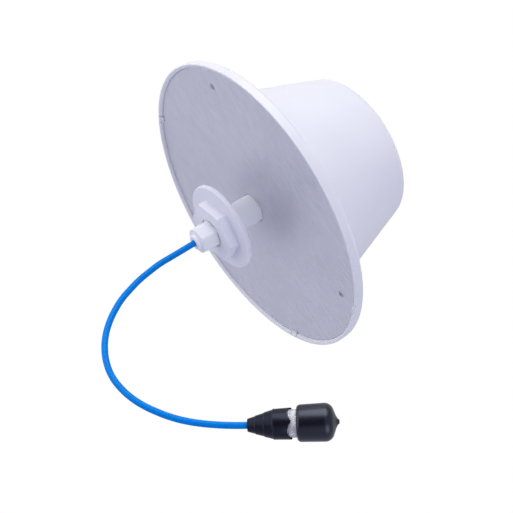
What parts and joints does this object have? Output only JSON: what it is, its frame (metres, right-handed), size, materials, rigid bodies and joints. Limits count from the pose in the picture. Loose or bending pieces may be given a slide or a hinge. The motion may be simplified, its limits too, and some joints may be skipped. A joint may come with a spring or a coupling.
{
  "type": "ceiling antenna",
  "caption": "Indoor ceiling antenna: tapered white dome with a brim and an aluminium back plate, a hollow stud with a flanged nut, and a short blue coaxial pigtail with a capped jack.",
  "frame": {"origin": "on the stud's axis, in the plane of the lip that meets the ceiling", "axes": "+Z along the stud, up through the ceiling; the dome hangs towards -Z; the pigtail arches over towards -X"},
  "size_m": [0.2712, 0.21, 0.2421],
  "materials": {
    "radome_white": "satin moulded",
    "plate_aluminium": "brushed",
    "screw_steel": "plain",
    "fastener_steel": "zinc plated",
    "stud_white": "satin moulded",
    "nut_white": "satin moulded",
    "gland_white": "satin moulded",
    "seal_white": "matte",
    "cable_blue": "glossy jacket",
    "feed_brass": "turned",
    "insulator_white": "turned",
    "radiator_sheet": "spun",
    "boot_black": "satin",
    "jack_plated": "white bronze plated",
    "contact_gold": "gold plated",
    "cap_black": "glossy dip moulded"
  },
  "bodies": {
    "antenna": {"radome": "radome_white", "ground_plate": "plate_aluminium", "plate_screws": "screw_steel", "clinch_studs": "fastener_steel", "mounting_stud": "stud_white", "gland_nut": "gland_white", "gland_seal": "seal_white", "feed_cable": "cable_blue", "grounding_disc": "feed_brass", "flange_nuts": "fastener_steel", "standoff_post_1": "insulator_white", "standoff_post_2": "insulator_white", "standoff_post_3": "insulator_white", "radiator_cone": "radiator_sheet", "post_screws": "insulator_white", "feed_insulator": "insulator_white", "feed_pin": "feed_brass", "feed_nut": "feed_brass", "pigtail_cable": "cable_blue", "cable_boot": "boot_black", "crimp_ferrule": "fastener_steel", "jack_body": "jack_plated", "jack_insulator": "insulator_white", "jack_contact": "contact_gold", "dust_cap": "cap_black"},
    "nut": {"mounting_nut": "nut_white"}
  },
  "joints": [
    {"name": "nut_travel", "type": "slide", "parent": "antenna", "child": "nut", "axis": [0, 0, 1], "range_m": [-0.024, 0.006]}
  ]
}
